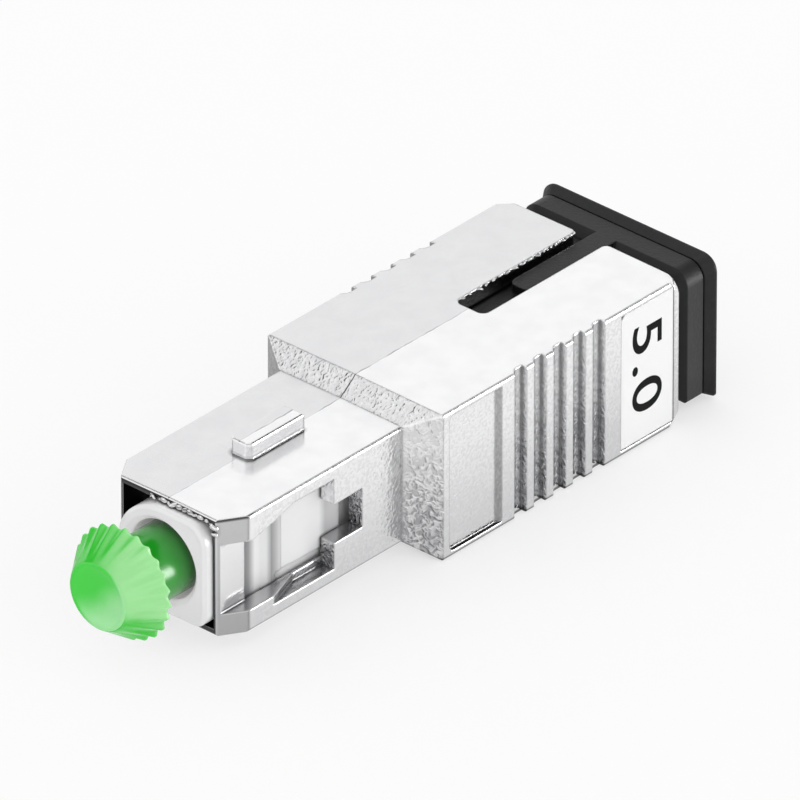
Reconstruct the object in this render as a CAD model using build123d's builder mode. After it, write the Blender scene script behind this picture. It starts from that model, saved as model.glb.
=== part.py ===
from build123d import *
import math
import os

# Fibre-optic attenuator, plug to receptacle, in a one-piece die-cast shell
# Millimetres. The origin is on the optical axis at the shell's front face.
# +X runs to the receptacle end, +Z to the key side, and the label is on the -Y side.

# Front section of the shell, which enters a mating receptacle
PLUG_WIDTH = 9.0
PLUG_HEIGHT = 7.4
PLUG_LENGTH = 14.0
PLUG_CHAMFER_LENGTH = 1.62
PLUG_CHAMFER_WIDTH = 1.03
PLUG_CHAMFER_BLEND = 0.5
FRONT_EDGE = 0.15
PLUG_ROOF = 0.38

# Body of the shell
STEP_LENGTH = 1.2
BODY_WIDTH = 12.9
BODY_HEIGHT = 9.34
BODY_LENGTH = 19.4
CROWN = 0.05
LONG_EDGE = 0.15
REAR_CORNER = 1.0
REAR_CORNER_LENGTH = 0.7

# Key on top of the front section
KEY_START = 5.7
KEY_LENGTH = 4.5
KEY_WIDTH = 1.5
KEY_HEIGHT = 1.0
KEY_CHAMFER = 0.28
KEY_EDGE = 0.12

# Panels, grip grooves and label seat on the body's sides
PANEL_START = 0.5
PANEL_LENGTH = 3.9
PANEL_SLOPE = 0.45
PANEL_DEPTH = 0.22
PANEL_LIP = 0.35
PANEL_CORNER = 0.4
GRIP_LAND = 0.98
GROOVE_COUNT = 5
GROOVE_PITCH = 1.61
GROOVE_WIDTH = 1.02
GROOVE_FLAT = 0.42
GROOVE_DEPTH = 0.38
REAR_RIM = 0.4
LABEL_LENGTH = 4.3
LABEL_THICKNESS = 0.1
LABEL_GAP = 0.03
LABEL_SINK = 0.03
LABEL_CUT = 0.3

# Moulded plug frame
NOSE_REACH = 0.7
FRAME_WIDTH = 6.5
NOSE_LEFT_CORNER = 3.2
NOSE_RIGHT_CORNER = 1.4
NOSE_FOOT = 0.95
NOSE_EDGE = 0.2
BORE_DIAMETER = 4.8
BORE_DEPTH = 7.2
BORE_BEVEL = 0.3
WEB_THICKNESS = 1.2
CHAMBER_DIAMETER = 4.9
WAIST_START = 2.8
WAIST_LENGTH = 1.0
WAIST_DEPTH = 0.25
BOSS_RAMP = 0.65
BOSS_RISE = 0.18
BOSS_HALF_HEIGHT = 1.9
BOSS_HEAD_END = 4.8
BOSS_HEAD_HALF_HEIGHT = 2.5
BOSS_DIP_START = 5.3
BOSS_DIP_END = 6.6
BOSS_DIP_DEPTH = 0.12
BOSS_REAR = 10.0
CATCH_SEAT_LENGTH = 3.0
CATCH_SEAT_DEPTH = 0.35
COLLAR_LENGTH = 1.6

# Fits
SLIDE_GAP = 0.07
PORT_GAP = 0.03
FERRULE_GAP = 0.01
GLUE_GAP = 0.002
SEAT_GAP = 0.05

# Ferrule, fibre and flange
FERRULE_DIAMETER = 2.5
FERRULE_REACH = 1.6
FERRULE_CONE = 0.5
FERRULE_CONE_INSET = 0.55
POLISH_ANGLE = 8.0
FIBRE_DIAMETER = 0.125
PILOT_DIAMETER = 3.5
PILOT_LENGTH = 1.0
FLANGE_LENGTH = 1.6
FLANGE_NOTCH_WIDTH = 0.9
FLANGE_NOTCH_DEPTH = 0.5
BARREL_DIAMETER = 3.3
BARREL_LENGTH = 1.5

# Spring and its stop
SPRING_DIAMETER = 4.5
SPRING_WIRE = 0.4
SPRING_WIRE_SIDES = 5
SPRING_PITCH = 0.85
SPRING_STOP_THICKNESS = 0.6
SPRING_STOP_BORE = 2.9

# Split sleeve and its holder
SLEEVE_OUTER = 3.2
SLEEVE_LENGTH = 11.4
SLEEVE_SLIT = 0.5
SLEEVE_PLAY = 0.1
SLEEVE_CLEARANCE = 0.1
HOLDER_DIAMETER = 4.4
HOLDER_LIP = 0.5
HOLDER_LIP_BORE = 2.8
FRONT_PLATE = 1.2
REAR_PLATE = 1.1

# Latch hooks of the receptacle
HOOK_TIP_DEPTH = 1.7
HOOK_LENGTH = 11.4
HOOK_GAP = 0.15
HOOK_THICKNESS = 0.8
HOOK_ROOT = 0.4
BEAM_WIDTH = 3.8
HEAD_WIDTH = 2.3
HEAD_LENGTH = 2.3
EAR_WIDTH = 5.5
EAR_LENGTH = 2.0
CATCH_DEPTH = 0.55
CATCH_FLAT = 0.35
CATCH_RAMP = 0.5
HOOK_SWING = 0.9

# Retaining lugs of the latch insert and their pockets in the shell
LUG_RISE = 0.35
LUG_WIDTH = 2.4
LUG_GAP = 0.15
LUG_RIB = 0.7
PUSH_TRAVEL = 1.6
STOP_GAP = 0.1

# Side windows of the front section, for the hooks of a mating receptacle
PILLAR_LENGTH = 2.2
PILLAR_THICKNESS = 0.28
WINDOW_LIP = 0.3
WINDOW_LIP_START = 2.1
WINDOW_LIP_END = 3.4
WINDOW_REAR = 8.45
NOTCH_REAR = 10.75
WINDOW_GAP = 0.45
NOTCH_GAP = 0.09
CAM_START = 3.5
CAM_END = 6.0
CAM_DEPTH = 0.85
CAM_GAP = 0.12
UPPER_CAM_SLOPE = 1.7

# Keyway slot in the top of the body
KEYWAY_LENGTH = 10.1
KEYWAY_GAP = 0.33
KEYWAY_RADIUS = 0.5
KEYWAY_EXIT_RADIUS = 0.35

# Ferrule cap
CAP_GAP = 2.8
CAP_HEAD_LENGTH = 2.2
CAP_RIM_DIAMETER = 6.9
CAP_FACE_DIAMETER = 4.1
CAP_RIM_LENGTH = 0.2
CAP_DISH = 0.3
CAP_DISH_MARGIN = 0.3
CAP_FLUTES = 24
CAP_FLUTE_DEPTH = 0.3
CAP_FLUTE_FRONT_DEPTH = 0.04
# Share of the flute's pitch, and share of its depth there
CAP_FLUTE_PROFILE = ((0.0, 0.0), (0.28, 0.0), (0.46, 0.85), (0.82, 0.85))
CAP_SHANK_DIAMETER = 4.2
CAP_INSERT = 3.7
CAP_SOCKET_DEPTH = 5.9
CAP_FIT = 0.02

# Dust plug of the receptacle
PLUG_STANDOFF = 0.75
BLOCK_LENGTH = 1.9
BLOCK_WIDTH = 12.0
BLOCK_HEIGHT = 8.4
RIM_LENGTH = 0.8
RIM_WIDTH = 12.7
RIM_HEIGHT = 8.94
RIM_LAND = 0.25
BLOCK_CORNER = 1.0
BLOCK_FOOT = 0.25
BLOCK_EDGE = 0.15
BLOCK_FRONT_EDGE = 0.5
SEAM_WIDTH = 0.1
SEAM_DEPTH = 0.15
NECK_GAP = 0.1
NECK_START = 0.3
TONGUE_LENGTH = 10.0
TONGUE_WIDTH = 5.9
TONGUE_BORE = 5.0
TONGUE_BORE_END = 0.3
RIB_REACH = 6.0
RIB_GAP = 0.33
RIB_CORNER = 0.5

# Cuts run past the surface they open by this much
OVERCUT = 1.0

# Stations along the axis
body_start = PLUG_LENGTH + STEP_LENGTH
body_end = body_start + BODY_LENGTH
hook_tip = body_end - HOOK_TIP_DEPTH
port_floor = hook_tip - HOOK_LENGTH
optical_plane = port_floor - REAR_PLATE
front_plate_start = optical_plane - FRONT_PLATE
collar_start = front_plate_start - COLLAR_LENGTH
port_start = collar_start - PUSH_TRAVEL - STOP_GAP
nose_front = -NOSE_REACH
web_start = nose_front + BORE_DEPTH
web_end = web_start + WEB_THICKNESS
ferrule_front = nose_front - FERRULE_REACH
sleeve_start = optical_plane - SLEEVE_LENGTH / 2
sleeve_end = optical_plane + SLEEVE_LENGTH / 2
front_tube_start = sleeve_start - SLEEVE_PLAY - HOLDER_LIP
rear_tube_end = sleeve_end + SLEEVE_PLAY + HOLDER_LIP
spring_start = web_end + FLANGE_LENGTH
spring_end = front_tube_start - SPRING_STOP_THICKNESS

# Widths and heights that follow from the fits
frame_side = FRAME_WIDTH / 2
boss_side = frame_side + BOSS_RISE
mouth_side = frame_side + SLIDE_GAP
cavity_side = boss_side + SLIDE_GAP
plug_side = PLUG_WIDTH / 2
plug_top = PLUG_HEIGHT / 2
cavity_top = plug_top - PLUG_ROOF
frame_top = cavity_top - SLIDE_GAP
body_side = BODY_WIDTH / 2
body_top = BODY_HEIGHT / 2
port_side = plug_side + PORT_GAP
port_top = plug_top + PORT_GAP
holder_bore = SLEEVE_OUTER + 2 * SLEEVE_CLEARANCE
hook_inner = boss_side + HOOK_GAP
hook_outer = hook_inner + HOOK_THICKNESS
channel_side = hook_outer + HOOK_SWING
panel_top = body_top - PANEL_LIP

os.makedirs("parts", exist_ok=True)


def ring(x_start, x_end, outer_diameter, inner_diameter, mode=Mode.ADD):
    """Tube along the axis between two stations; it joins the part that is being built."""
    with BuildSketch(Plane.YZ.offset(x_start)) as section:
        Circle(outer_diameter / 2)
        Circle(inner_diameter / 2, mode=Mode.SUBTRACT)
    return extrude(section.sketch, amount=x_end - x_start, mode=mode)


def box_between(x_start, x_end, half_width, half_height, mode=Mode.ADD):
    """Block centred on the axis between two stations; it joins the part that is being built."""
    with BuildSketch(Plane.YZ.offset(x_start)) as section:
        Rectangle(2 * half_width, 2 * half_height)
    return extrude(section.sketch, amount=x_end - x_start, mode=mode)


def rod(x_start, x_end, diameter, mode=Mode.ADD):
    """Round bar along the axis between two stations; it joins the part that is being built."""
    with BuildSketch(Plane.YZ.offset(x_start)) as section:
        Circle(diameter / 2)
    return extrude(section.sketch, amount=x_end - x_start, mode=mode)


def bore(x_start, x_end, diameter):
    """Round hole along the axis in the part that is being built."""
    return rod(x_start, x_end, diameter, Mode.SUBTRACT)


def shell_section(x, width, height, corner):
    """Section of the shell: flat underneath, with a shallow crown that peaks at the parting line."""
    shoulder = height / 2 - CROWN
    with BuildSketch(Plane.YZ.offset(x)) as section:
        with BuildLine():
            Polyline(
                (-width / 2, -height / 2),
                (width / 2, -height / 2),
                (width / 2, shoulder),
                (0, height / 2),
                (-width / 2, shoulder),
                close=True,
            )
        make_face()
        corners = section.vertices().filter_by(lambda point: abs(point.X) > width / 4)
        fillet(corners, radius=corner)
    return section.sketch


# Cuts in the body's sides: front panel, grip grooves and label seat

with BuildPart() as side_relief:
    # Front panel, whose rear wall slopes back out
    panel_start = body_start + PANEL_START
    panel_end = panel_start + PANEL_LENGTH
    panel_floor = body_side - PANEL_DEPTH
    with BuildSketch(Plane.XY):
        with BuildLine():
            Polyline(
                (panel_start, body_side + OVERCUT),
                (panel_start, panel_floor),
                (panel_end, panel_floor),
                (panel_end + PANEL_SLOPE, body_side),
                (panel_end + PANEL_SLOPE, body_side + OVERCUT),
                close=True,
            )
        make_face()
    extrude(amount=panel_top, both=True)
    front_corners = side_relief.faces().sort_by(Axis.X)[0].edges().filter_by(Axis.Y)
    fillet(front_corners, radius=PANEL_CORNER)

    # Grip grooves: each curves down from its front edge and ends in an upright wall
    groove_start = panel_end + PANEL_SLOPE + GRIP_LAND
    groove_floor = body_side - GROOVE_DEPTH
    groove_flat_start = groove_start + GROOVE_WIDTH - GROOVE_FLAT
    with BuildSketch(Plane.XY):
        for step in range(GROOVE_COUNT):
            with Locations((step * GROOVE_PITCH, 0)):
                with BuildSketch(Plane.XY, mode=Mode.PRIVATE) as groove:
                    with BuildLine():
                        TangentArc(
                            (groove_flat_start, groove_floor),
                            (groove_start, body_side),
                            tangent=(-1, 0),
                        )
                        Polyline(
                            (groove_start, body_side),
                            (groove_start, body_side + OVERCUT),
                            (groove_start + GROOVE_WIDTH, body_side + OVERCUT),
                            (groove_start + GROOVE_WIDTH, groove_floor),
                            (groove_flat_start, groove_floor),
                        )
                    make_face()
                add(groove.sketch)
    extrude(amount=body_top + OVERCUT, both=True)

    # Label seat in front of the rear rim
    seat_end = body_end - REAR_RIM
    seat_start = seat_end - LABEL_LENGTH - 2 * LABEL_GAP
    label_face = body_side - LABEL_SINK
    seat_floor = label_face - LABEL_THICKNESS
    with BuildSketch(Plane.XZ.offset(seat_floor)):
        with Locations(((seat_start + seat_end) / 2, 0)):
            Rectangle(seat_end - seat_start, 2 * panel_top)
    extrude(amount=OVERCUT)
    mirror(about=Plane.XZ)


# Window of each side of the front section: a thin pillar closes its front end, and its
# cams spread a latch hook

window_half = BEAM_WIDTH / 2 + WINDOW_GAP
notch_half = HEAD_WIDTH / 2 + NOTCH_GAP
pocket_half = EAR_WIDTH / 2 + CAM_GAP
lip_half = window_half - WINDOW_LIP

with BuildPart() as cam_pockets:
    # Seen from the side: the lower pocket is square, the upper one slopes up
    with BuildSketch(Plane.XZ.offset(cavity_side)):
        with BuildLine():
            Polyline(
                (CAM_START, -pocket_half),
                (WINDOW_REAR, -pocket_half),
                (WINDOW_REAR, pocket_half),
                (CAM_START + UPPER_CAM_SLOPE, pocket_half),
                (CAM_START, window_half),
                close=True,
            )
        make_face()
    extrude(amount=plug_side - cavity_side + OVERCUT)
    # Seen from above: the cam runs inward from the outer face
    cam_floor = plug_side - CAM_DEPTH
    with BuildSketch(Plane.XY):
        with BuildLine():
            Polyline(
                (CAM_START, -plug_side),
                (CAM_END, -cam_floor),
                (WINDOW_REAR, -cam_floor),
                (WINDOW_REAR, -plug_side - OVERCUT),
                (CAM_START, -plug_side - OVERCUT),
                close=True,
            )
        make_face()
    extrude(amount=plug_top, both=True, mode=Mode.INTERSECT)

with BuildPart() as side_windows:
    with BuildSketch(Plane.XZ):
        with BuildLine():
            Polyline(
                (-OVERCUT, -window_half),
                (WINDOW_REAR, -window_half),
                (WINDOW_REAR, -notch_half),
                (NOTCH_REAR, -notch_half),
                (NOTCH_REAR, notch_half),
                (WINDOW_REAR, notch_half),
                (WINDOW_REAR, window_half),
                (WINDOW_LIP_END, window_half),
                (WINDOW_LIP_START, lip_half),
                (-OVERCUT, lip_half),
                close=True,
            )
        make_face()
    extrude(amount=plug_side + OVERCUT)
    add(cam_pockets.part)
    mirror(about=Plane.XZ)
    box_between(
        -OVERCUT, PILLAR_LENGTH, mouth_side + PILLAR_THICKNESS, plug_top, Mode.SUBTRACT
    )


# Shell

with BuildPart() as housing:
    # Front section with its front corners cut back in plan
    extrude(shell_section(0, PLUG_WIDTH, PLUG_HEIGHT, LONG_EDGE), amount=PLUG_LENGTH)
    with BuildSketch(Plane.XY) as plan:
        with BuildLine():
            Polyline(
                (0, plug_side - PLUG_CHAMFER_WIDTH),
                (PLUG_CHAMFER_LENGTH, plug_side),
                (PLUG_LENGTH, plug_side),
                (PLUG_LENGTH, -plug_side),
                (PLUG_CHAMFER_LENGTH, -plug_side),
                (0, -plug_side + PLUG_CHAMFER_WIDTH),
                close=True,
            )
        make_face()
        fillet(plan.vertices().group_by(Axis.X)[1], radius=PLUG_CHAMFER_BLEND)
    extrude(amount=plug_top, both=True, mode=Mode.INTERSECT)
    fillet(housing.faces().sort_by(Axis.X)[0].edges(), radius=FRONT_EDGE)

    # Key
    key_end = KEY_START + KEY_LENGTH
    with BuildSketch(Plane.XY.offset(plug_top - CROWN)) as key_outline:
        with Locations(((KEY_START + key_end) / 2, 0)):
            Rectangle(KEY_LENGTH, KEY_WIDTH)
        chamfer(key_outline.vertices().group_by(Axis.X)[0], length=KEY_CHAMFER)
    extrude(amount=KEY_HEIGHT + CROWN)
    fillet(housing.faces().sort_by(Axis.Z)[-1].edges(), radius=KEY_EDGE)

    # Sloping step and body, whose corners round off towards the rear face
    loft(
        [
            shell_section(PLUG_LENGTH, PLUG_WIDTH, PLUG_HEIGHT, LONG_EDGE),
            shell_section(body_start, BODY_WIDTH, BODY_HEIGHT, LONG_EDGE),
        ],
        ruled=True,
    )
    extrude(
        shell_section(body_start, BODY_WIDTH, BODY_HEIGHT, LONG_EDGE),
        amount=BODY_LENGTH - REAR_CORNER_LENGTH,
    )
    loft(
        [
            shell_section(body_end - REAR_CORNER_LENGTH, BODY_WIDTH, BODY_HEIGHT, LONG_EDGE),
            shell_section(body_end, BODY_WIDTH, BODY_HEIGHT, REAR_CORNER),
        ],
        ruled=True,
    )
    add(side_relief.part, mode=Mode.SUBTRACT)
    add(side_windows.part, mode=Mode.SUBTRACT)

    # Mouth and cavity for the plug frame, then the wider port for the latch insert
    box_between(-OVERCUT, PILLAR_LENGTH, mouth_side, cavity_top, Mode.SUBTRACT)
    box_between(PILLAR_LENGTH, port_start + OVERCUT, cavity_side, cavity_top, Mode.SUBTRACT)
    box_between(port_start, body_end + OVERCUT, port_side, port_top, Mode.SUBTRACT)

    # Pockets that trap the insert's lugs, and channels in which the hooks swing out
    pocket_end = port_floor + LUG_GAP
    pocket_start = optical_plane - PUSH_TRAVEL - LUG_GAP
    lug_pocket_side = port_side + LUG_RISE + LUG_GAP
    box_between(
        pocket_start, pocket_end, lug_pocket_side, LUG_WIDTH / 2 + LUG_GAP, Mode.SUBTRACT
    )
    box_between(
        pocket_end + LUG_RIB, body_end + OVERCUT, channel_side, pocket_half, Mode.SUBTRACT
    )

    # Keyway slot, rounded at its front end and flared at its open rear end
    keyway_half = KEY_WIDTH / 2 + KEYWAY_GAP
    keyway_start = body_end - KEYWAY_LENGTH
    with BuildSketch(Plane.XY.offset(port_top - OVERCUT)) as keyway:
        with Locations((keyway_start, 0)):
            Rectangle(
                KEYWAY_LENGTH + OVERCUT, 2 * keyway_half, align=(Align.MIN, Align.CENTER)
            )
        with Locations((body_end, 0)):
            Rectangle(OVERCUT, 2 * (keyway_half + OVERCUT), align=(Align.MIN, Align.CENTER))
        along = keyway.vertices().group_by(Axis.X)
        fillet(along[0], radius=KEYWAY_RADIUS)
        mouth = keyway.vertices().group_by(Axis.X)[-2]
        fillet(mouth.sort_by(lambda point: abs(point.Y))[:2], radius=KEYWAY_EXIT_RADIUS)
    extrude(amount=body_top - port_top + 2 * OVERCUT, mode=Mode.SUBTRACT)

housing.part.label = "housing"
export_step(housing.part, "parts/housing.step")


# Label plate in the seat of the -Y side, with its upper front corner cut off

with BuildPart() as value_label:
    with BuildSketch(Plane.XZ.offset(seat_floor)) as label_outline:
        with Locations(((seat_start + seat_end) / 2, 0)):
            Rectangle(LABEL_LENGTH, 2 * (panel_top - LABEL_GAP))
        front_corners = label_outline.vertices().group_by(Axis.X)[0]
        chamfer(front_corners.sort_by(Axis.Y)[-1], length=LABEL_CUT)
    extrude(amount=LABEL_THICKNESS)

value_label.part.label = "value_label"
export_step(value_label.part, "parts/value_label.step")


# Plug frame: nose, web, spring chamber, side bosses and rear collar

with BuildPart() as plug_frame:
    with BuildSketch(Plane.YZ.offset(nose_front)) as nose_outline:
        Rectangle(FRAME_WIDTH, 2 * frame_top)
        upper = nose_outline.vertices().group_by(Axis.Y)[-1]
        fillet(upper.sort_by(Axis.X)[-1], radius=NOSE_LEFT_CORNER)
        upper = nose_outline.vertices().group_by(Axis.Y)[-1]
        fillet(upper.sort_by(Axis.X)[0], radius=NOSE_RIGHT_CORNER)
        fillet(nose_outline.vertices().group_by(Axis.Y)[0], radius=NOSE_FOOT)
    extrude(amount=front_plate_start - nose_front)
    chamfer(plug_frame.faces().sort_by(Axis.X)[0].edges(), length=NOSE_EDGE)

    # Waist in front of the bosses, and the seats behind them where the hooks catch
    with BuildSketch(Plane.XY):
        for side in (-1, 1):
            waist = side * (frame_side - WAIST_DEPTH)
            waist_end = WAIST_START + WAIST_LENGTH
            with BuildLine():
                ThreePointArc(
                    (WAIST_START, side * frame_side),
                    ((WAIST_START + waist_end) / 2, waist),
                    (waist_end, side * frame_side),
                )
                Polyline(
                    (waist_end, side * frame_side),
                    (waist_end, side * (frame_side + OVERCUT)),
                    (WAIST_START, side * (frame_side + OVERCUT)),
                    (WAIST_START, side * frame_side),
                )
            make_face()
            with BuildLine():
                Polyline(
                    (BOSS_REAR, side * (frame_side - CATCH_SEAT_DEPTH)),
                    (BOSS_REAR + CATCH_SEAT_LENGTH, side * (frame_side - CATCH_SEAT_DEPTH)),
                    (BOSS_REAR + CATCH_SEAT_LENGTH, side * (frame_side + OVERCUT)),
                    (BOSS_REAR, side * (frame_side + OVERCUT)),
                    close=True,
                )
            make_face()
    extrude(amount=frame_top, both=True, mode=Mode.SUBTRACT)
    for rear, half_height in (
        (BOSS_HEAD_END, BOSS_HEAD_HALF_HEIGHT),
        (BOSS_REAR, BOSS_HALF_HEIGHT),
    ):
        with BuildSketch(Plane.XY):
            with BuildLine():
                Polyline(
                    (waist_end, -frame_side),
                    (waist_end + BOSS_RAMP, -boss_side),
                    (rear, -boss_side),
                    (rear, boss_side),
                    (waist_end + BOSS_RAMP, boss_side),
                    (waist_end, frame_side),
                    close=True,
                )
            make_face()
        extrude(amount=half_height, both=True)
    with BuildSketch(Plane.XY):
        for side in (-1, 1):
            with BuildLine():
                Polyline(
                    (BOSS_DIP_START, side * boss_side),
                    (BOSS_DIP_START, side * (boss_side - BOSS_DIP_DEPTH)),
                    (BOSS_DIP_END, side * boss_side),
                    close=True,
                )
            make_face()
    extrude(amount=BOSS_HALF_HEIGHT, both=True, mode=Mode.SUBTRACT)

    # Collar that joins the frame to the sleeve holder
    box_between(
        collar_start, front_plate_start, port_side - SLIDE_GAP, port_top - SLIDE_GAP
    )
    bore(nose_front, web_start, BORE_DIAMETER)
    bore(web_start, web_end, PILOT_DIAMETER + 2 * SEAT_GAP)
    bore(web_end, front_plate_start, CHAMBER_DIAMETER)
    bore_edge = plug_frame.faces().sort_by(Axis.X)[0].edges().sort_by(SortBy.LENGTH)
    chamfer(bore_edge.filter_by(GeomType.CIRCLE)[-1], length=BORE_BEVEL)

plug_frame.part.label = "plug_frame"
export_step(plug_frame.part, "parts/plug_frame.step")


# Ferrule: long ceramic rod, coned at both ends and polished at an angle

polish_rise = math.tan(math.radians(POLISH_ANGLE))


def polished_end(x, facing):
    """Plane of an angled end face, looking out of the rod."""
    return Plane(origin=(x, 0, 0), z_dir=(facing, 0, facing * polish_rise))


with BuildPart() as ferrule:
    cone_radius = FERRULE_DIAMETER / 2 - FERRULE_CONE_INSET
    with BuildSketch(Plane.XZ):
        with BuildLine():
            Polyline(
                (ferrule_front - FERRULE_CONE, 0),
                (ferrule_front - FERRULE_CONE, cone_radius),
                (ferrule_front + FERRULE_CONE, FERRULE_DIAMETER / 2),
                (optical_plane - FERRULE_CONE, FERRULE_DIAMETER / 2),
                (optical_plane + FERRULE_CONE, cone_radius),
                (optical_plane + FERRULE_CONE, 0),
                close=True,
            )
        make_face()
    revolve(axis=Axis.X)
    split(bisect_by=polished_end(ferrule_front, -1), keep=Keep.BOTTOM)
    split(bisect_by=polished_end(optical_plane, 1), keep=Keep.BOTTOM)
    bore(
        ferrule_front - FERRULE_CONE,
        optical_plane + FERRULE_CONE,
        FIBRE_DIAMETER + 2 * GLUE_GAP,
    )

ferrule.part.label = "ferrule"
export_step(ferrule.part, "parts/ferrule.step")


# Attenuating fibre bonded in the ferrule's bore, polished with it

with BuildPart() as attenuating_fibre:
    rod(ferrule_front - FERRULE_CONE, optical_plane + FERRULE_CONE, FIBRE_DIAMETER)
    split(bisect_by=polished_end(ferrule_front, -1), keep=Keep.BOTTOM)
    split(bisect_by=polished_end(optical_plane, 1), keep=Keep.BOTTOM)

attenuating_fibre.part.label = "attenuating_fibre"
export_step(attenuating_fibre.part, "parts/attenuating_fibre.step")


# Flange on the ferrule: pilot, notched collar and the barrel that centres the spring

flange_diameter = CHAMBER_DIAMETER - 2 * SEAT_GAP

with BuildPart() as ferrule_flange:
    ferrule_fit = FERRULE_DIAMETER + 2 * GLUE_GAP
    ring(web_end - PILOT_LENGTH, web_end, PILOT_DIAMETER, ferrule_fit)
    ring(web_end, spring_start, flange_diameter, ferrule_fit)
    ring(spring_start, spring_start + BARREL_LENGTH, BARREL_DIAMETER, ferrule_fit)
    with BuildSketch(Plane.YZ.offset(web_end)):
        with PolarLocations(flange_diameter / 2, 4):
            Rectangle(2 * FLANGE_NOTCH_DEPTH, FLANGE_NOTCH_WIDTH)
    extrude(amount=FLANGE_LENGTH, mode=Mode.SUBTRACT)

ferrule_flange.part.label = "ferrule_flange"
export_step(ferrule_flange.part, "parts/ferrule_flange.step")


# Spring, with a closed turn ground flat at each end

spring_radius = (SPRING_DIAMETER - SPRING_WIRE) / 2
coil_start = spring_start + SPRING_WIRE / 2
coil_length = spring_end - spring_start - SPRING_WIRE

with BuildPart() as ferrule_spring:
    with BuildLine() as coil:
        Helix(
            pitch=SPRING_PITCH,
            height=coil_length,
            radius=spring_radius,
            center=(coil_start, 0, 0),
            direction=(1, 0, 0),
        )
    with BuildSketch(Plane(origin=coil.line @ 0, z_dir=coil.line % 0)):
        RegularPolygon(SPRING_WIRE / 2, SPRING_WIRE_SIDES)
    sweep(path=coil.line)

ferrule_spring.part.label = "ferrule_spring"
export_step(ferrule_spring.part, "parts/ferrule_spring.step")


# Ring that carries the spring's rear end

with BuildPart() as spring_stop:
    ring(spring_end, front_tube_start, flange_diameter, SPRING_STOP_BORE)

spring_stop.part.label = "spring_stop"
export_step(spring_stop.part, "parts/spring_stop.step")


# Split sleeve that lines up the two ferrules

with BuildPart() as split_sleeve:
    ring(sleeve_start, sleeve_end, SLEEVE_OUTER, FERRULE_DIAMETER + 2 * FERRULE_GAP)
    with BuildSketch(Plane.XY):
        with Locations(((sleeve_start + sleeve_end) / 2, 0)):
            Rectangle(SLEEVE_LENGTH + OVERCUT, SLEEVE_SLIT)
    extrude(amount=SLEEVE_OUTER, mode=Mode.SUBTRACT)

split_sleeve.part.label = "split_sleeve"
export_step(split_sleeve.part, "parts/split_sleeve.step")


# Front half of the sleeve holder

with BuildPart() as front_sleeve_holder:
    rod(front_tube_start, front_plate_start, HOLDER_DIAMETER)
    box_between(
        front_plate_start, optical_plane, port_side - SLIDE_GAP, port_top - SLIDE_GAP
    )
    bore(front_tube_start, front_tube_start + HOLDER_LIP, HOLDER_LIP_BORE)
    bore(front_tube_start + HOLDER_LIP, optical_plane, holder_bore)

front_sleeve_holder.part.label = "front_sleeve_holder"
export_step(front_sleeve_holder.part, "parts/front_sleeve_holder.step")


# Latch insert: rear half of the sleeve holder with two latch hooks and two lugs

with BuildPart() as latch_insert:
    box_between(optical_plane, port_floor, port_side - SLIDE_GAP, port_top - SLIDE_GAP)
    rod(port_floor, rear_tube_end, HOLDER_DIAMETER)
    bore(optical_plane, rear_tube_end - HOLDER_LIP, holder_bore)
    bore(rear_tube_end - HOLDER_LIP, rear_tube_end, HOLDER_LIP_BORE)

with BuildPart() as latch_hook:
    # Beam, ears that ride on a mating plug's cams, and the narrower head
    ear_end = hook_tip - HEAD_LENGTH
    ear_start = ear_end - EAR_LENGTH
    with BuildSketch(Plane.XZ.offset(hook_inner)):
        with BuildLine():
            Polyline(
                (port_floor, -BEAM_WIDTH / 2),
                (ear_start, -BEAM_WIDTH / 2),
                (ear_start, -EAR_WIDTH / 2),
                (ear_end, -EAR_WIDTH / 2),
                (ear_end, -HEAD_WIDTH / 2),
                (hook_tip, -HEAD_WIDTH / 2),
                (hook_tip, HEAD_WIDTH / 2),
                (ear_end, HEAD_WIDTH / 2),
                (ear_end, EAR_WIDTH / 2),
                (ear_start, EAR_WIDTH / 2),
                (ear_start, BEAM_WIDTH / 2),
                (port_floor, BEAM_WIDTH / 2),
                close=True,
            )
        make_face()
    extrude(amount=HOOK_THICKNESS)
    # Catch on the head's inner side, with a lead-in ramp at the tip
    with BuildSketch(Plane.XY):
        with BuildLine():
            Polyline(
                (hook_tip, -hook_inner),
                (hook_tip - CATCH_RAMP, -hook_inner + CATCH_DEPTH),
                (hook_tip - CATCH_RAMP - CATCH_FLAT, -hook_inner + CATCH_DEPTH),
                (hook_tip - CATCH_RAMP - CATCH_FLAT, -hook_inner),
                close=True,
            )
        make_face()
    extrude(amount=HEAD_WIDTH / 2, both=True)
    # Root gusset
    with BuildSketch(Plane.XY):
        with BuildLine():
            Polyline(
                (port_floor, -hook_inner),
                (port_floor + HOOK_ROOT, -hook_inner),
                (port_floor, -hook_inner + HOOK_ROOT),
                close=True,
            )
        make_face()
    extrude(amount=BEAM_WIDTH / 2, both=True)
    # Lug on the plate's side, ramped towards the front
    lug_base = port_side - SLIDE_GAP
    with BuildSketch(Plane.XY):
        with BuildLine():
            Polyline(
                (optical_plane, -lug_base),
                (port_floor - LUG_GAP, -lug_base - LUG_RISE),
                (port_floor, -lug_base - LUG_RISE),
                (port_floor, -lug_base + LUG_RISE),
                (optical_plane, -lug_base + LUG_RISE),
                close=True,
            )
        make_face()
    extrude(amount=LUG_WIDTH / 2, both=True)
    mirror(about=Plane.XZ)

with latch_insert:
    add(latch_hook.part)

latch_insert.part.label = "latch_insert"
export_step(latch_insert.part, "parts/latch_insert.step")


# Ferrule cap: fluted head, shank and the socket that grips the ferrule

cap_rim = nose_front - CAP_GAP
cap_shoulder = cap_rim - CAP_RIM_LENGTH
cap_face = cap_rim - CAP_HEAD_LENGTH
cap_end = nose_front + CAP_INSERT


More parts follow.
